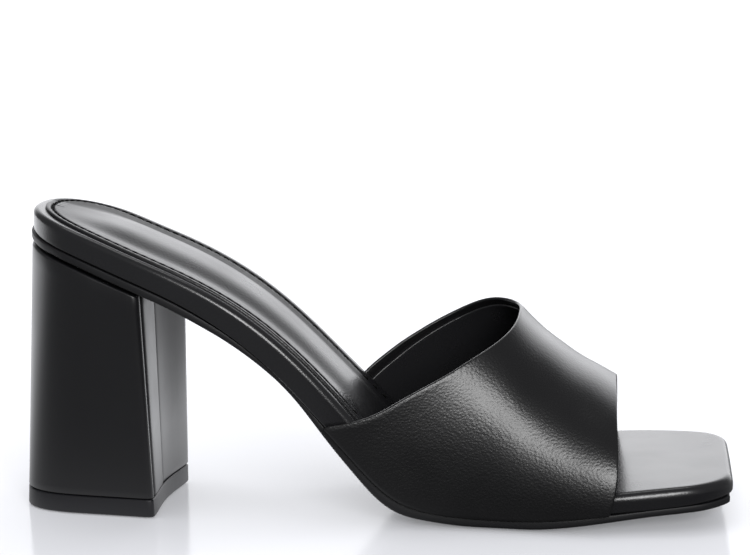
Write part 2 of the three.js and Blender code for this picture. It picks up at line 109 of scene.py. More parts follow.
# Strap: the part's own lengths and tables, as shares of the shoe's length or the strap's height
LENGTH = 222.7
CENTRE_X = 111.175
STRAP_HEIGHT = 61.4
STRAP_LEAN = 2.0
STRAP_ALONG = (-24.0, 86.0)  # the footbed's sides are read between these places along x
STRAP_CLEAR = 2.345  # its outer face stands this far outside the footbed's edge
SQUARENESS = 2.3
OUTER_LEATHER = 1.15
LINING = 0.7
FOLD = 0.5  # the folded edges bulge this far
LINING_FOLD = 0.35
LINING_INSET = 2.2  # the lining starts this far inside the folded edge
LINING_GAP = 0.02
FOLD_STEPS = 7
RIDGE = (
    (0.4081, 2.106), (0.4428, 1.9646), (0.4861, 1.7917), (0.5555, 1.5245), (0.6161, 1.2888),
    (0.6594, 1.1285), (0.6963, 0.9964), (0.7244, 0.8911), (0.7548, 0.8015), (0.7808, 0.734),
    (0.8111, 0.6727), (0.8414, 0.6082),
)
# Round the foot from the lateral to the medial side: where the strap starts and where it ends
STRAP_EDGES = (
    (0, 0.4445, 0.832), (0.012, 0.461, 0.834), (0.033, 0.4848, 0.837), (0.1, 0.5462, 0.8415),
    (0.1667, 0.6038, 0.842), (0.2, 0.6258, 0.8415), (0.3, 0.6722, 0.839), (0.4, 0.6932, 0.838),
    (0.45, 0.6965, 0.837), (0.5, 0.6965, 0.836), (0.6, 0.685, 0.836), (0.7, 0.646, 0.836),
    (0.8, 0.59, 0.836), (0.9, 0.515, 0.836), (0.9333, 0.492, 0.836), (0.9667, 0.469, 0.835),
    (0.988, 0.453, 0.834), (1, 0.441, 0.832),
)

# Heel: how far its foot and its head are set in, by the share of its height
HEEL_FOOT = ((0, 0.6), (0.0015, 0.2), (0.005, 0.0))
HEEL_HEAD = ((0.99, 0.0), (0.997, 0.2), (1.0, 0.6))
HEEL_ROWS = 30
# The same for the tip, by the distance from its underside and from its top
TIP_FOOT = ((0, 0.6), (0.12, 0.2), (0.45, 0.0))
TIP_HEAD = ((0.45, 0.0), (0.12, 0.15), (0, 0.5))
# The cover's relief across the breast, from the lateral to the medial corner: share of the width,
# and how far it stands before the solid's face
BREAST = (
    (0.0, 0.0), (0.012, -0.02), (0.024, -0.07), (0.034, -0.2), (0.042, -0.42), (0.05, -0.62),
    (0.06, -0.68), (0.07, -0.6), (0.078, -0.34), (0.086, -0.14), (0.10, -0.05), (0.13, 0.0),
    (0.2, 0.0), (0.28, -0.02), (0.34, -0.05), (0.38, -0.1), (0.396, -0.2), (0.406, -0.45),
    (0.412, -0.64), (0.42, -0.72), (0.428, -0.64), (0.438, -0.54), (0.452, -0.47), (0.48, -0.43),
    (0.54, -0.38), (0.62, -0.32), (0.7, -0.25), (0.8, -0.16), (0.9, -0.07), (0.97, -0.02), (1.0, 0.0),
)

# Camera: the photograph is 750 pixels wide and its focal length is 1878 of them
SENSOR_WIDTH = 36.0
FOCAL_PIXELS = 1878.0
PHOTO_WIDTH = 750.0
CAMERA_AT = (79.61, -582.58, 178.53)
CAMERA_DOWN = 10.389
CAMERA_YAW = 8.0

# Materials
GRAIN_TURN = 38  # degrees between the leather's grain and the shoe's length
SLACK_SHINE = 0.28  # slack leather keeps this share of the shine
SLACK_ROUGHER = 0.18
FLOOR_HALF = 40.0  # in metres, as the lights' places and sizes are
FLOOR_DROP = 0.0004


# Measuring the CAD nodes


class Solid:
    """Corners and ray casts of one CAD node, in millimetres."""

    def __init__(self, name):
        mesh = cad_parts[name].data
        co = np.zeros(len(mesh.vertices) * 3, np.float32)
        mesh.vertices.foreach_get("co", co)
        self.corners = co.reshape(-1, 3).astype(float) / MM
        faces = [tuple(p.vertices) for p in mesh.polygons]
        self.tree = BVHTree.FromPolygons([Vector(p) for p in self.corners], faces)

    def hit(self, origin, direction):
        where = self.tree.ray_cast(Vector(origin), Vector(direction))[0]
        return None if where is None else np.array(where)

    def distinct(self):
        return np.unique(np.round(self.corners, 3), axis=0)


def soften(values, sigma):
    """Gaussian smoothing along the first axis; the ends go on in a straight line."""
    reach = max(int(3 * sigma), 1)
    kernel = np.exp(-0.5 * (np.arange(-reach, reach + 1) / sigma) ** 2)
    kernel /= kernel.sum()
    values = np.asarray(values, float)
    before = 2 * values[0] - values[reach:0:-1]
    after = 2 * values[-1] - values[-2 : -reach - 2 : -1]
    padded = np.concatenate([before, values, after])
    flat = padded.reshape(len(padded), -1)
    out = np.stack([np.convolve(flat[:, c], kernel, "valid") for c in range(flat.shape[1])], 1)
    return out.reshape(values.shape)


class Line:
    """A smooth curve through samples of one value along x."""

    STEP = 0.5

    def __init__(self, xs, values, sigma=2.5):
        self.xs = np.arange(xs[0], xs[-1] + self.STEP, self.STEP)
        self.values = soften(np.interp(self.xs, xs, values), sigma / self.STEP)
        self.slopes = np.gradient(self.values, self.STEP)

    def __call__(self, x):
        return np.interp(x, self.xs, self.values)

    def slope(self, x):
        return np.interp(x, self.xs, self.slopes)


def catmull(points, per_gap):
    """A centripetal Catmull-Rom curve through points, with per_gap steps in each gap."""
    p = np.concatenate([[2 * points[0] - points[1]], points, [2 * points[-1] - points[-2]]])
    out = []
    for i in range(1, len(p) - 2):
        a, b, c, d = p[i - 1 : i + 3]
        t = np.cumsum([0] + [max(np.linalg.norm(v), 1e-6) ** 0.5 for v in (b - a, c - b, d - c)])
        for u in np.linspace(t[1], t[2], per_gap, endpoint=False):
            ab = ((t[1] - u) * a + (u - t[0]) * b) / (t[1] - t[0])
            bc = ((t[2] - u) * b + (u - t[1]) * c) / (t[2] - t[1])
            cd = ((t[3] - u) * c + (u - t[2]) * d) / (t[3] - t[2])
            abc = ((t[2] - u) * ab + (u - t[0]) * bc) / (t[2] - t[0])
            bcd = ((t[3] - u) * bc + (u - t[1]) * cd) / (t[3] - t[1])
            out.append(((t[2] - u) * abc + (u - t[1]) * bcd) / (t[2] - t[1]))
    out.append(points[-1])
    return np.array(out)


def spline(table, column):
    """A natural cubic spline through one column of a table against its first column."""
    x = np.array([row[0] for row in table], float)
    y = np.array([row[column] for row in table], float)
    n = len(x)
    h = np.diff(x)
    system = np.eye(n)
    right = np.zeros(n)
    for i in range(1, n - 1):
        system[i, i - 1 : i + 2] = h[i - 1], 2 * (h[i - 1] + h[i]), h[i]
        right[i] = 6 * ((y[i + 1] - y[i]) / h[i] - (y[i] - y[i - 1]) / h[i - 1])
    bend = np.linalg.solve(system, right)

    def at(q):
        q = np.clip(q, x[0], x[-1])
        i = np.clip(np.searchsorted(x, q) - 1, 0, n - 2)
        a = (x[i + 1] - q) / h[i]
        b = (q - x[i]) / h[i]
        curve = ((a**3 - a) * bend[i] + (b**3 - b) * bend[i + 1]) * h[i] ** 2 / 6
        return a * y[i] + b * y[i + 1] + curve

    return at


class Plate:
    """The plan outline of a CAD plate, read at its own stations."""

    def __init__(self, name):
        self.solid = Solid(name)
        corners = self.solid.distinct()
        xs, counts = np.unique(corners[:, 0], return_counts=True)
        sides = [corners[corners[:, 0] == x, 1] for x in xs[counts >= 4]]
        rows = self.outermost([(x, s.min(), s.max()) for x, s in zip(xs[counts >= 4], sides)])
        self.stations = rows[:, 0]
        self.lateral = catmull(rows[:, [0, 1]], 8)
        self.medial = catmull(rows[:, [0, 2]], 8)
        self.start = self.stations[0]
        self.end = self.stations[-1]

    def outermost(self, rows):
        """Leaves out the stations of rings that lie inside the outline."""
        rows = list(rows)
        while True:
            set_in = [0.0]
            for before, here, after in zip(rows, rows[1:], rows[2:]):
                t = (here[0] - before[0]) / (after[0] - before[0])
                low = before[1] + (after[1] - before[1]) * t
                high = before[2] + (after[2] - before[2]) * t
                set_in.append(min(here[1] - low, high - here[2]))
            worst = int(np.argmax(set_in))
            if set_in[worst] < RING_DEPTH:
                return np.array(rows)
            rows.pop(worst)

    def side(self, edge, x):
        order = np.argsort(edge[:, 0], kind="stable")
        return np.interp(x, edge[order, 0], edge[order, 1])

    def lateral_at(self, x):
        return self.side(self.lateral, x)

    def medial_at(self, x):
        return self.side(self.medial, x)

    def middle_at(self, x):
        return (self.lateral_at(x) + self.medial_at(x)) / 2


footbed_cad = Plate("footbed")
outsole_cad = Plate("outsole")
sock_cad = Plate("sock_pad")


def height_line(plate, up, sigma=2.5):
    """The height of a plate's top or underside along its middle, straight on over its ends' bevels."""
    found = []
    for x in plate.stations:
        if plate.start + BEVEL < x < plate.end - BEVEL:
            where = plate.solid.hit((x, plate.middle_at(x), 200 * up), (0, 0, -up))
            found.append((x, where[2]))
    found = np.array(found)

    def onward(part, x):
        return x, np.polyval(np.polyfit(part[:, 0], part[:, 1], 1), x)

    found = np.vstack([onward(found[:3], plate.start), found, onward(found[-3:], plate.end)])
    return Line(found[:, 0], found[:, 1], sigma)


top = height_line(footbed_cad, 1)
under = height_line(footbed_cad, -1)


def stretch(x):
    """How much longer than in plan the board's curve is at x."""
    return np.hypot(1, top.slope(x))


def rise_between(value, low, high):
    """A smooth step from 0 at low to 1 at high."""
    t = np.clip((value - low) / (high - low), 0, 1)
    return t * t * (3 - 2 * t)


# Building meshes


class Builder:
    """Collects points and faces of one piece, in millimetres."""

    def __init__(self):
        self.points = []
        self.faces = []
        self.count = 0

    def add(self, points):
        points = np.asarray(points, float).reshape(-1, 3)
        first = self.count
        self.points.append(points)
        self.count += len(points)
        return first + np.arange(len(points))

    def grid(self, ids, close=False, flip=False):
        """Quads over a grid of point numbers; close joins the last column to the first."""
        if close:
            ids = np.concatenate([ids, ids[:, :1]], 1)
        a, b, c, d = ids[:-1, :-1], ids[:-1, 1:], ids[1:, 1:], ids[1:, :-1]
        quads = np.stack([a, d, c, b] if flip else [a, b, c, d], -1).reshape(-1, 4)
        self.faces.extend(map(tuple, quads.tolist()))

    def face(self, ids):
        self.faces.append(tuple(int(i) for i in ids))

    def piece(self, name, material, body="root"):
        mesh = bpy.data.meshes.new(name)
        points = np.concatenate(self.points) * MM
        mesh.from_pydata(points.tolist(), [], self.faces)
        mesh.materials.append(material)
        mesh.shade_smooth()
        mesh.validate()
        made = bpy.data.objects.new(name, mesh)
        bpy.context.scene.collection.objects.link(made)
        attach(made, body)
        return made


def graded(start, end, step, reach=12.0, count=16):
    """Places from start to end that lie closer together near both ends."""
    near = reach * (np.arange(count) / count) ** 2
    inside = np.arange(start + reach, end - reach, step)
    return np.concatenate([start + near, inside, (end - near)[::-1]])


def rungs_of(plate, step, reach=12.0, count=16):
    """Lines across a plate: x, the lateral and the medial end. They close up at both flat ends."""
    xs = graded(plate.start, plate.end, step, reach, count)
    rungs = [(x, plate.lateral_at(x), plate.medial_at(x)) for x in xs]

    def close(rung, bulge):
        x, low, high = rung
        middle, half = (low + high) / 2, (high - low) / 2
        return [(x + bulge * (1 - t * t), middle - half * t, middle + half * t) for t in END_SHARES]

    return np.array(close(rungs[0], END_BULGES[0])[::-1] + rungs + close(rungs[-1], END_BULGES[1]))


def loop_of(rungs):
    """A closed plan outline, along the lateral side to the toe and back along the medial side.

    It comes with the way in from each of its points.
    """
    loop = np.concatenate([rungs[:, [0, 1]], rungs[::-1][:, [0, 2]]])
    ahead = np.roll(loop, -1, 0) - np.roll(loop, 1, 0)
    ahead /= np.linalg.norm(ahead, axis=1)[:, None]
    inward = np.stack([-ahead[:, 1], ahead[:, 0]], 1)
    return loop, inward


def fill_rungs(builder, ring_ids, ring_points, columns, height, up=True):
    """Closes a ring of 2n points by rungs across it; height gives z for x and y arrays."""
    n = len(ring_ids) // 2
    t = np.linspace(0, 1, columns + 1)[1:-1]
    left = ring_points[:n]
    right = ring_points[n:][::-1]
    across = left[:, None, :2] * (1 - t[None, :, None]) + right[:, None, :2] * t[None, :, None]
    z = height(across[..., 0], across[..., 1])
    inner = builder.add(np.concatenate([across, z[..., None]], 2))
    ids = np.concatenate(
        [ring_ids[:n, None], inner.reshape(n, columns - 1), ring_ids[n:][::-1][:, None]], 1
    )
    builder.grid(ids, flip=up)


# Materials


def shader(name, base, roughness, specular=0.5):
    material = bpy.data.materials.new(name)
    material.use_nodes = True
    tree = material.node_tree
    principled = tree.nodes["Principled BSDF"]
    principled.inputs["Base Color"].default_value = (*base, 1)
    principled.inputs["Roughness"].default_value = roughness
    principled.inputs["Specular IOR Level"].default_value = specular
    return material, tree, principled


def node(tree, kind, inputs=(), **settings):
    made = tree.nodes.new(kind)
    for key, value in settings.items():
        setattr(made, key, value)
    for key, value in dict(inputs).items():
        if isinstance(value, bpy.types.NodeSocket):
            tree.links.new(value, made.inputs[key])
        else:
            made.inputs[key].default_value = value
    return made


def maths(tree, operation, a, b=0.5):
    return node(tree, "ShaderNodeMath", {0: a, 1: b}, operation=operation).outputs[0]


def leather(name, base, roughness, cell=0.8, depth=0.05, specular=0.5, streak=1.0, slack=""):
    """Leather: rounded pebbles of one cell, broken up by noise, with creases between them.

    cell and depth are millimetres. streak above 1 draws the pebbles out along one diagonal. slack
    names a mesh attribute: where it is 1 the leather is not stretched, and is duller.
    """
    material, tree, principled = shader(name, base, roughness, specular)
    where = node(tree, "ShaderNodeTexCoord").outputs["Object"]
    turned = node(
        tree,
        "ShaderNodeMapping",
        {"Vector": where, "Rotation": (0.0, math.radians(GRAIN_TURN), 0.0), "Scale": (1, 1, streak)},
    ).outputs["Vector"]
    pebble = node(
        tree,
        "ShaderNodeTexVoronoi",
        {"Vector": turned, "Scale": 1 / (cell * MM), "Randomness": 0.9},
        feature="SMOOTH_F1",
    ).outputs["Distance"]
    fine = node(
        tree, "ShaderNodeTexNoise", {"Vector": where, "Scale": 3.2 / (cell * MM), "Detail": 3.0}
    ).outputs["Fac"]
    broad = node(
        tree, "ShaderNodeTexNoise", {"Vector": where, "Scale": 60.0, "Detail": 3.0}
    ).outputs["Fac"]
    rounded = maths(tree, "MULTIPLY", pebble, -1.0)
    relief = maths(tree, "ADD", rounded, maths(tree, "MULTIPLY", fine, 0.25))
    bump = node(
        tree, "ShaderNodeBump", {"Height": relief, "Strength": 1.0, "Distance": depth * MM}
    ).outputs["Normal"]
    tree.links.new(bump, principled.inputs["Normal"])
    varied = node(
        tree,
        "ShaderNodeMapRange",
        {"Value": broad, "To Min": roughness - 0.05, "To Max": roughness + 0.06},
    ).outputs["Result"]
    if slack:
        dull = node(tree, "ShaderNodeAttribute", attribute_name=slack).outputs["Fac"]
        level = node(
            tree,
            "ShaderNodeMapRange",
            {"Value": dull, "To Min": specular, "To Max": specular * SLACK_SHINE},
        ).outputs["Result"]
        tree.links.new(level, principled.inputs["Specular IOR Level"])
        varied = maths(tree, "ADD", varied, maths(tree, "MULTIPLY", dull, SLACK_ROUGHER))
    tree.links.new(varied, principled.inputs["Roughness"])
    return material


def rubber(name, base, roughness, depth=0.03):
    """Matt rubber with a fine even grain, depth millimetres deep."""
    material, tree, principled = shader(name, base, roughness, 0.4)
    where = node(tree, "ShaderNodeTexCoord").outputs["Object"]
    fine = node(
        tree, "ShaderNodeTexNoise", {"Vector": where, "Scale": 2600.0, "Detail": 4.0}
    ).outputs["Fac"]
    bump = node(
        tree, "ShaderNodeBump", {"Height": fine, "Strength": 1.0, "Distance": depth * MM}
    ).outputs["Normal"]
    tree.links.new(bump, principled.inputs["Normal"])
    return material


strap_leather = leather("strap_leather", (0.0045, 0.0045, 0.005), 0.29, 0.8, 0.045, streak=1.3)
lining_leather = leather("lining_leather", (0.010, 0.010, 0.011), 0.28, 0.7, 0.008)
board_leather = leather("footbed_leather", (0.007, 0.007, 0.008), 0.25, 0.55, 0.018, specular=0.58)
sock_leather = leather("sock_leather", (0.008, 0.008, 0.009), 0.28, 0.65, 0.035, slack="slack")
heel_leather = leather("heel_leather", (0.005, 0.005, 0.006), 0.34, 0.6, 0.008)
sole_rubber = rubber("outsole_rubber", (0.006, 0.006, 0.007), 0.5)
tip_rubber = rubber("tip_rubber", (0.008, 0.008, 0.010), 0.45)
thread = shader("thread", (0.002, 0.002, 0.002), 0.7, 0.2)[0]


# Footbed


def moved_in(plate, loop, inward, inset):
    """The outline moved in by inset. Its front end shrinks instead, so that no corner folds over."""
    inset = np.reshape(inset, (-1, 1))
    x, y = loop[:, :1], loop[:, 1:]
    fade_from, fade_to = (plate.end - distance for distance in CORNER_FADE)
    low, high = plate.lateral_at(fade_to), plate.medial_at(fade_to)
    middle, half = (low + high) / 2, (high - low) / 2
    ahead = np.clip(1 - (plate.end - x) / CORNER_REACH, 0, 1)
    shrunk = np.concatenate([x - inset * ahead, middle + (y - middle) * (1 - inset / half)], 1)
    blend = rise_between(x, fade_from, fade_to)
    return (loop + inward * inset) * (1 - blend) + shrunk * blend


def plate_point(plate, loop, inward, inset, height):
    """A ring of a plate: the outline moved in by inset, at a height that depends on x."""
    xy = moved_in(plate, loop, inward, inset)
    return np.concatenate([xy, height(xy[:, 0])[:, None]], 1)


def quarter(steps):
    """Insets and depths round a quarter of a unit circle, from the flat top down to the wall."""
    turn = np.linspace(0, math.pi / 2, steps + 1)
    return list(zip(1 - np.sin(turn), 1 - np.cos(turn)))


def make_footbed():
    """The board wrapped in leather: flat rim, rounded edge, wall, and rounded underside."""
    b = Builder()
    loop, inward = loop_of(rungs_of(footbed_cad, 1.0))

    def rim_depth(x):
        return RIM_RADIUS + (TOE_RIM_DEPTH - RIM_RADIUS) * rise_between(x, *TOE_RIM_FADE)

    def foot(x):
        return UNDER_RADIUS + (TOE_UNDER_RADIUS - UNDER_RADIUS) * rise_between(x, *TOE_UNDER_FADE)

    def below_top(x, share):
        return top(x) - share * rim_depth(x) * stretch(x)

    def above_foot(x, share):
        return under(x) + share * foot(x) * stretch(x)

    def ring(inset, height):
        return plate_point(footbed_cad, loop, inward, inset, height)

    rings = [ring(RIM_RADIUS + RIM_FLAT, top)]
    for inset, depth in quarter(10):
        rings.append(ring(inset * RIM_RADIUS, lambda x: below_top(x, depth)))
    for share in (0.25, 0.5, 0.75):
        rings.append(ring(0, lambda x: below_top(x, 1) * (1 - share) + above_foot(x, 1) * share))
    for inset, depth in quarter(5)[::-1]:
        rings.append(ring(inset * foot(loop[:, 0]), lambda x: above_foot(x, depth)))
    ids = np.array([b.add(r) for r in rings])
    b.grid(ids, close=True, flip=True)
    fill_rungs(b, ids[0], rings[0], 14, lambda x, y: top(x))
    fill_rungs(b, ids[-1], rings[-1], 8, lambda x, y: under(x), up=False)
    made = b.piece("footbed_cover", board_leather)
    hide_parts("footbed")


# Sock


def sock_outline():
    """The sock's outline, the way in from each point, and how much wider its border is there."""
    loop, inward = loop_of(rungs_of(sock_cad, 0.7, 14, 24))
    x = loop[:, 0]
    from_end = np.minimum(x - sock_cad.start, sock_cad.end - x)
    across = rise_between(loop[:, 1] - sock_cad.middle_at(x), *WIDE_ACROSS)
    wider = 1 + WIDE_BORDER * (across * rise_between(from_end, *WIDE_ENDS))
    return loop, inward, wider[:, None]


def way_round(loop):
    """The distance of each point of a closed outline from its first, and last the whole length."""
    gaps = np.linalg.norm(np.roll(loop, -1, 0) - loop, axis=1)
    return np.concatenate([[0], np.cumsum(gaps)])


def sock_share(x, y):
    """The place across the sock: -1 on the lateral line of stitches and 1 at the medial side."""
    low, high = sock_cad.lateral_at(x), sock_cad.medial_at(x)
    return (2 * y - low - high) / (high - low - 2 * STITCH_INSET)


def make_sock():
    """The padded sock: a cut edge, a stitched channel, pleats at the stitches, a raised cushion."""
    b = Builder()
    loop, inward, wider = sock_outline()
    arc = way_round(loop)
    stitches = int(arc[-1] // PITCH)
    wave = np.cos(2 * math.pi * arc[:-1] * stitches / arc[-1])

    def pleat(inset):
        past = inset - STITCH_INSET
        if past <= 0:
            height, reach = PLEATS_OUTSIDE
            return height * math.exp(-((past / reach) ** 2))
        height, reach = PLEATS_INSIDE
        return height * math.exp(-past / reach)

    def cushion(x, y):
        t = sock_share(x, y) - CUSHION_CREST
        side = np.where(t > 0, CUSHION_MEDIAL[0] - CUSHION_CREST, CUSHION_LATERAL[0] + CUSHION_CREST)
        level = np.where(t > 0, CUSHION_MEDIAL[1], CUSHION_LATERAL[1])
        bell = 0.5 + 0.5 * np.cos(math.pi * np.clip(np.abs(t) / side, 0, 1) ** level)
        back = rise_between(x - sock_cad.start, *CUSHION_START)
        front = rise_between(sock_cad.end - x, *CUSHION_END)
        return CUSHION_RISE * bell * (back * front)

    rings = []
    for inset, height in SOCK_BORDER:
        ring = plate_point(sock_cad, loop, inward, inset * wider, lambda x: top(x) + height * stretch(x))
        ring[:, 2] += pleat(inset) * wave + cushion(ring[:, 0], ring[:, 1])
        rings.append(ring)
    ids = np.array([b.add(r) for r in rings])
    b.grid(ids, close=True)
    height = lambda x, y: top(x) + SOCK_BORDER[-1][1] * stretch(x) + cushion(x, y)
    fill_rungs(b, ids[-1], rings[-1], 72, height)
    made = b.piece("sock_cushion", sock_leather)
    x, y, _ = np.array([v.co for v in made.data.vertices]).T / MM
    across = sock_share(x, y)
    middle = rise_between(across, *SLACK_BEGINS) * (1 - rise_between(across, *SLACK_ENDS))
    back = 1 - rise_between(x - sock_cad.start, *CUSHION_START)
    slack = np.maximum(middle, SLACK_BACK * back).astype(np.float32)
    made.data.attributes.new("slack", "FLOAT", "POINT").data.foreach_set("value", slack)
    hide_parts("sock_pad")


def capsule(b, centre, along, up, length, radius, sides=6):
    """One stitch: a short thread that dips into the leather at both ends."""
    side = np.cross(along, up)
    rows = []
    for t, share in STITCH_SHAPE:
        middle = centre + along * (t * length / 2) - up * (radius * 1.5 * t**4)
        turn = np.linspace(0, 2 * math.pi, sides, endpoint=False)
        rows.append(middle + radius * share * (np.outer(np.cos(turn), side) + np.outer(np.sin(turn), up)))
    ids = np.array([b.add(r) for r in rows])
    b.grid(ids, close=True)
    b.face(ids[0])
    b.face(ids[-1][::-1])


def make_stitches():
    """One thread for each wave of the border, in its channel."""
    b = Builder()
    loop, inward, wider = sock_outline()
    line = moved_in(sock_cad, loop, inward, STITCH_INSET * wider)
    arc = way_round(loop)
    closed = np.concatenate([line, line[:1]])
    count = int(arc[-1] // PITCH)

    def at(place):
        x, y = (np.interp(place % arc[-1], arc, closed[:, c]) for c in (0, 1))
        return np.array([x, y, top(x) + STITCH_LIFT * stretch(x)])

    for k in range(count):
        place = k * arc[-1] / count
        here = at(place)
        ahead = at(place + 0.3) - at(place - 0.3)
        ahead /= np.linalg.norm(ahead)
        slope = top.slope(here[0])
        up = np.array([-slope, 0, 1]) / math.hypot(1, slope)
        up -= ahead * (up @ ahead)
        capsule(b, here, ahead, up / np.linalg.norm(up), PITCH * STITCH_SHARE, THREAD_RADIUS)
    made = b.piece("sock_stitches", thread)


# Outsole


def belly(x, y):
    """The height of the outsole's underside; a place just off its edge takes its neighbour's."""
    hits = [outsole_cad.solid.hit((p, q, -50), (0, 0, 1)) for p, q in zip(x.ravel(), y.ravel())]
    found = np.array([np.nan if h is None else h[2] for h in hits])
    good = ~np.isnan(found)
    found = np.interp(np.arange(len(found)), np.flatnonzero(good), found[good])
    return np.maximum(found, 0).reshape(x.shape)


def make_outsole():
    """The sole: a narrow lip under the board, a wall, a rounded lower edge and the underside."""
    b = Builder()
    loop, inward = loop_of(rungs_of(outsole_cad, 1.0))
    roof = height_line(outsole_cad, 1)
    near_edge = loop + inward
    edge = np.maximum(soften(belly(near_edge[:, 0], near_edge[:, 1]), 2.0), 0)
    # At the toe the sole's edge reaches out and up into the rounded foot of the wall above it
    toe = rise_between(loop[:, 0], *TOE_SOLE_FADE)
    wall_top = roof(loop[:, 0]) - SOLE_SINK + TOE_SOLE_UP * toe
    # Inset, and height from that of the wall's top and of the underside near the edge
    rows = [
        (1.8, lambda w, e: w + 0.1 - TOE_SOLE_UP * toe),
        (0.35, lambda w, e: w + 0.1),
        (0.08, lambda w, e: w),
        (0.0, lambda w, e: w - 0.3),
        (0.0, lambda w, e: np.minimum(e + 1.5, w - 0.35)),
        (0.1, lambda w, e: np.minimum(e + 1.15, w - 0.4)),
        (0.4, lambda w, e: np.minimum(e + 0.8, w - 0.45)),
        (1.0, lambda w, e: np.minimum(e + 0.5, w - 0.5)),
        (2.0, lambda w, e: e + 0.22),
        (3.2, lambda w, e: e + 0.06),
        (4.6, lambda w, e: e),
    ]
    rings = []
    for inset, height in rows:
        out = TOE_SOLE_OUT * toe if inset <= 1 else 0
        xy = moved_in(outsole_cad, loop, inward, inset - out)
        rings.append(np.concatenate([xy, height(wall_top, edge)[:, None]], 1))
    rings[-1][:, 2] = belly(rings[-1][:, 0], rings[-1][:, 1])
    ids = np.array([b.add(r) for r in rings])
    b.grid(ids, close=True, flip=True)
    fill_rungs(b, ids[0], rings[0], 6, lambda x, y: roof(x) - 0.05)
    fill_rungs(b, ids[-1], rings[-1], 16, belly, up=False)
    made = b.piece("outsole_edge", sole_rubber)
    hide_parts("outsole")


# Strap


def strap_line(values):
    """One side of the footbed under the strap, as a smooth curve."""
    xs = np.arange(*STRAP_ALONG, 1.0)
    return Line(xs, values(xs), 2.0)


lateral_line = strap_line(footbed_cad.lateral_at)
medial_line = strap_line(footbed_cad.medial_at)
ridge = spline(RIDGE, 1)
strap_back = spline(STRAP_EDGES, 1)
strap_front = spline(STRAP_EDGES, 2)


def strap_point(x, turn):
    """The arch over the foot at one x; turn runs from the lateral foot to the medial one."""
    lateral = lateral_line(x) - STRAP_CLEAR * np.hypot(1, lateral_line.slope(x))
    medial = medial_line(x) + STRAP_CLEAR * np.hypot(1, medial_line.slope(x))
    crest = (lateral_line(x) + medial_line(x)) / 2 + STRAP_LEAN
    base = under(x)
    rise = STRAP_HEIGHT * ridge((x + CENTRE_X) / LENGTH) - base
    across = np.cos(turn)
    reach = np.abs(across) ** (2 / SQUARENESS)
    y = crest + np.where(across > 0, lateral - crest, medial - crest) * reach
    return np.stack([x, y, base + rise * np.abs(np.sin(turn)) ** (2 / SQUARENESS)], -1)


def strap_surface(rounds=190, shares=70):
    """The strap's outer face and its normals, as a grid: round the arch, and from back to front."""
    t = np.linspace(0, 1, rounds)
    places = 0.45 * t + 0.275 * (1 - np.cos(math.pi * t))
    places[0], places[-1] = 0, 1
    back = (strap_back(places) * LENGTH - CENTRE_X + FOLD)[:, None]
    front = (strap_front(places) * LENGTH - CENTRE_X - FOLD)[:, None]
    x = back + (front - back) * np.linspace(0, 1, shares)[None]
    turn = np.repeat(math.pi * places[:, None], shares, 1)
    points = strap_point(x, turn)
    step = 0.004
    after, before = np.minimum(turn + step, math.pi), np.maximum(turn - step, 0)
    over = strap_point(x, after) - strap_point(x, before)
    ahead = strap_point(x + 0.25, turn) - strap_point(x - 0.25, turn)
    normal = np.cross(ahead, over)
    normal /= np.linalg.norm(normal, axis=2)[..., None]
    return points, normal


def shell(b, outer, normal, thickness, fold):
    """A sheet of leather with both long edges folded round, closed at its two feet."""
    inner = outer - normal * thickness
    columns = outer.shape[1]
    steps = FOLD_STEPS

    def edge(column, neighbour):
        """Half circles from the outer to the inner face, past one edge of the sheet."""
        out = outer[:, column] - outer[:, neighbour]
        out /= np.linalg.norm(out, axis=1)[:, None]
        rows = []
        for k in range(1, steps):
            turn = math.pi * k / steps
            middle = (outer[:, column] + inner[:, column]) / 2
            half = (outer[:, column] - inner[:, column]) / 2
            rows.append(middle + half * math.cos(turn) + out * fold * math.sin(turn))
        return np.stack(rows, 1)

    front = edge(-1, -2)
    back = edge(0, 1)[:, ::-1]
    loop = np.concatenate([outer, front, inner[:, ::-1], back], 1)
    ids = b.add(loop).reshape(loop.shape[:2])
    b.grid(ids, close=True, flip=True)
    for row, flip in ((ids[0], False), (ids[-1], True)):
        inside = row[columns + steps - 1 : 2 * columns + steps - 1][::-1]
        b.grid(np.array([row[:columns], inside]), flip=flip)
        front_fold = row[columns - 1 : columns + steps]
        back_fold = np.append(row[2 * columns + steps - 2 :], row[0])
        for fold_ids in (front_fold, back_fold):
            b.face(fold_ids[::-1] if flip else fold_ids)


def make_strap():
    """The outer leather, and inside it the lining with its own folded edges."""
    outer, normal = strap_surface()
    b = Builder()
    shell(b, outer, normal, OUTER_LEATHER, FOLD)
    strap = b.piece("strap", strap_leather)
    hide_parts("upper")

    breadth = np.linalg.norm(outer[:, -1] - outer[:, 0], axis=1)
    share = np.clip(LINING_INSET / breadth, 0, 0.45)[:, None]
    place = (share + (1 - 2 * share) * np.linspace(0, 1, outer.shape[1])[None]) * (outer.shape[1] - 1)
    low = np.clip(np.floor(place).astype(int), 0, outer.shape[1] - 2)
    part = (place - low)[..., None]
    rows = np.arange(outer.shape[0])[:, None]
    inner = outer - normal * (OUTER_LEATHER + LINING_GAP)
    face = inner[rows, low] * (1 - part) + inner[rows, low + 1] * part
    b = Builder()
    shell(b, face, normal[rows, low], LINING, LINING_FOLD)
    lining = b.piece("strap_lining", lining_leather)


# Heel


def ring_in_order(points):
    """Corners of a ring in order round their middle, from the back middle along the lateral side."""
    middle = points[:, :2].mean(0)
    turn = np.arctan2(points[:, 1] - middle[1], points[:, 0] - middle[0])
    ordered = points[np.argsort(turn)]
    start = np.argmin(ordered[:, 0])
    return np.roll(ordered, -start, 0)


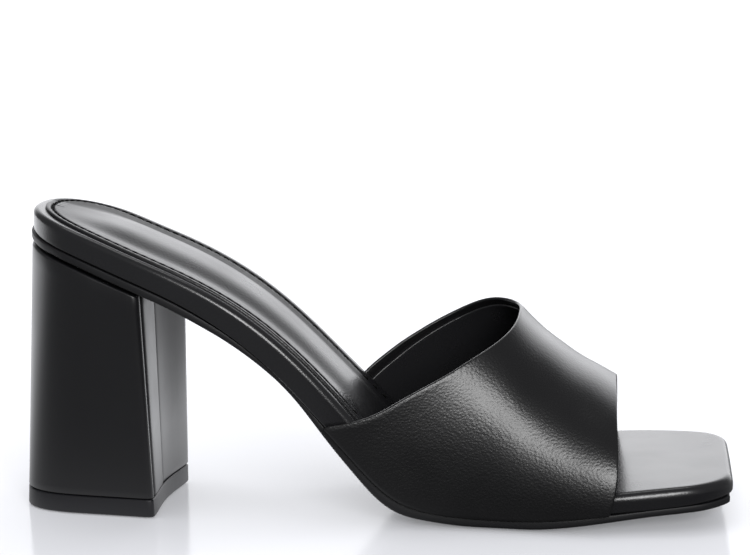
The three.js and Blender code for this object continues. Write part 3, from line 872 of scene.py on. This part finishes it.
def heel_outline(corners, depth=1.0):
    """A dense ring with the breast's relief times depth, from the corners of one CAD ring.

    The corners run: the back, 15 along the lateral side, 11 over the breast, 15 medial ones.
    """
    ring = ring_in_order(corners)
    lateral = catmull(ring[:16], 6)
    medial = catmull(np.concatenate([ring[27:], ring[:1]]), 6)
    across = ring[15:28]
    share = (across[:, 1] - across[0, 1]) / (across[-1, 1] - across[0, 1])
    places, relief = np.array(BREAST)[:, 0], np.array(BREAST)[:, 1]
    breast = np.stack([np.interp(places, share, across[:, c]) for c in range(3)], 1)
    breast[:, 0] = spline(list(zip(share, across[:, 0])), 1)(places) + relief * depth
    return np.concatenate([lateral[:-1], breast[:-1], medial[:-1]])


def heel_rings():
    """The heel's outline on the floor and under the seat; straight lines join the two."""
    heel = Solid("heel").distinct()
    tip = Solid("top_piece").distinct()
    floor = tip[tip[:, 2] < 0.01]
    levels, counts = np.unique(heel[:, 2], return_counts=True)
    seat = heel[~np.isin(heel[:, 2], levels[counts > 20])]
    return floor, seat


def stack(name, material, rings):
    """One piece from rings, closed below and above."""
    b = Builder()
    ids = np.array([b.add(r) for r in rings])
    b.grid(ids, close=True)
    b.face(ids[0][::-1])
    b.face(ids[-1])
    return b.piece(name, material)


def make_heel():
    """The wrapped heel with its breast's relief, and the plain tip under it."""
    floor, seat = [heel_outline(corners) for corners in heel_rings()]
    plain_floor, plain_seat = [heel_outline(corners, 0) for corners in heel_rings()]
    tip_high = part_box("top_piece")[1].z / MM
    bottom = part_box("heel")[0].z / MM / seat[:, 2]
    middle = seat[:, :2].mean(0)

    def set_in(ring, inset):
        towards = middle - ring[:, :2]
        ring[:, :2] += inset * towards / np.linalg.norm(towards, axis=1)[:, None]
        return ring

    def cover(share, inset=0.0):
        level = (bottom + (1 - bottom) * share)[:, None]
        return set_in(floor + (seat - floor) * level, inset)

    def tip(z, inset):
        ring = plain_floor + (plain_seat - plain_floor) * (z / seat[:, 2])[:, None]
        ring[:, 2] = z
        return set_in(ring, inset)

    rings = [cover(share, inset) for share, inset in HEEL_FOOT]
    rings += [cover(k / HEEL_ROWS) for k in range(1, HEEL_ROWS - 1)]
    rings += [cover(share, inset) for share, inset in HEEL_HEAD]
    made = stack("heel_cover", heel_leather, rings)
    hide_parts("heel")

    rings = [tip(up, inset) for up, inset in TIP_FOOT]
    rings += [tip(tip_high - down, inset) for down, inset in TIP_HEAD]
    made = stack("heel_tip", tip_rubber, rings)
    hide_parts("top_piece")


make_footbed()
make_sock()
make_stitches()
make_outsole()
make_strap()
make_heel()


# Studio


def smooth_range(tree, value, start, end, low, high):
    """A level that goes smoothly from low to high while the value goes from start to end."""
    return node(
        tree,
        "ShaderNodeMapRange",
        {"Value": value, "From Min": start, "From Max": end, "To Min": low, "To Max": high},
        interpolation_type="SMOOTHSTEP",
    ).outputs["Result"]


def make_floor():
    """A glossy white floor: it glows so that shadows stay pale, and mirrors what stands on it.

    The light that it throws on the shoe is set apart: it grows to the back, and to the heel's side.
    """
    mesh = bpy.data.meshes.new("floor")
    s = FLOOR_HALF
    mesh.from_pydata([(-s, -s, 0), (s, -s, 0), (s, s, 0), (-s, s, 0)], [], [(0, 1, 2, 3)])
    material, tree, principled = shader("floor_white", (0.62, 0.625, 0.65), 0.14, 0.09)
    principled.inputs["Emission Color"].default_value = (0.965, 0.975, 1.0, 1)
    principled.inputs["Emission Strength"].default_value = 0.17
    where = node(tree, "ShaderNodeTexCoord").outputs["Object"]
    parts = node(tree, "ShaderNodeSeparateXYZ", {"Vector": where}).outputs
    far = smooth_range(tree, parts["Y"], -0.10, 0.10, 0.13, 1.0)
    left = smooth_range(tree, parts["X"], -0.01, 0.035, 2.0, 0.4)
    level = maths(tree, "MULTIPLY", far, left)
    bounced = node(tree, "ShaderNodeEmission", {"Color": (0.96, 0.97, 1.0, 1), "Strength": level})
    seen = node(tree, "ShaderNodeLightPath").outputs["Is Camera Ray"]
    both = node(
        tree,
        "ShaderNodeMixShader",
        {0: seen, 1: bounced.outputs[0], 2: principled.outputs[0]},
    ).outputs[0]
    tree.links.new(both, tree.nodes["Material Output"].inputs["Surface"])
    mesh.materials.append(material)
    floor = bpy.data.objects.new("floor", mesh)
    floor.location.z = -FLOOR_DROP
    bpy.context.scene.collection.objects.link(floor)


def area_light(name, azimuth, elevation, distance, size, radiance, roll=0.0):
    """A soft box, seen from the shoe at an azimuth from +Y towards +X and an elevation, in degrees."""
    light = bpy.data.lights.new(name, "AREA")
    light.shape = "RECTANGLE"
    light.size, light.size_y = size
    light.energy = radiance * math.pi * size[0] * size[1]
    made = bpy.data.objects.new(name, light)
    az, el = math.radians(azimuth), math.radians(elevation)
    aim = Vector((0.02, 0, 0.045))
    away = Vector((math.sin(az) * math.cos(el), math.cos(az) * math.cos(el), math.sin(el)))
    made.location = aim + away * distance
    turned = away.to_track_quat("Z", "Y") @ Quaternion((0, 0, 1), math.radians(roll))
    made.rotation_euler = turned.to_euler()
    bpy.context.scene.collection.objects.link(made)


def make_world():
    """White for the camera. For light and reflections, bright behind the shoe and dim in front."""
    world = bpy.data.worlds.new("studio")
    world.use_nodes = True
    bpy.context.scene.world = world
    tree = world.node_tree
    tree.nodes.clear()
    where = node(tree, "ShaderNodeTexCoord").outputs["Generated"]
    y = node(tree, "ShaderNodeSeparateXYZ", {"Vector": where}).outputs["Y"]
    rays = node(tree, "ShaderNodeLightPath").outputs

    def light(low, high, start, end):
        """A sky that goes from one strength to another between two values of the direction's Y."""
        level = smooth_range(tree, y, start, end, low, high)
        colour = (0.97, 0.975, 1.0, 1)
        return node(tree, "ShaderNodeBackground", {"Color": colour, "Strength": level}).outputs[0]

    def choose(ray, otherwise, then):
        return node(tree, "ShaderNodeMixShader", {0: rays[ray], 1: otherwise, 2: then}).outputs[0]

    mirrored = light(0.25, 2.5, 0.58, 0.96)
    fill = light(1.1, 0.5, -0.3, 0.4)
    white = node(tree, "ShaderNodeBackground", {"Color": (1, 1, 1, 1), "Strength": 1.1}).outputs[0]
    both = choose("Is Camera Ray", choose("Is Diffuse Ray", mirrored, fill), white)
    tree.links.new(both, node(tree, "ShaderNodeOutputWorld").inputs["Surface"])


def make_camera():
    data = bpy.data.cameras.new("camera")
    data.sensor_width = SENSOR_WIDTH
    data.lens = FOCAL_PIXELS * SENSOR_WIDTH / PHOTO_WIDTH
    data.clip_start = 0.01
    camera = bpy.data.objects.new("camera", data)
    camera.location = Vector(CAMERA_AT) * MM
    camera.rotation_euler = (math.radians(90 - CAMERA_DOWN), 0, math.radians(CAMERA_YAW))
    bpy.context.scene.collection.objects.link(camera)
    bpy.context.scene.camera = camera


make_camera()
make_world()
make_floor()
area_light("key", 159, 21.5, 1.2, (0.5, 0.36), 14.5, 18)
area_light("overhead", 0, 80, 1.2, (0.7, 0.4), 2.5)
bpy.context.scene.view_settings.view_transform = "Standard"
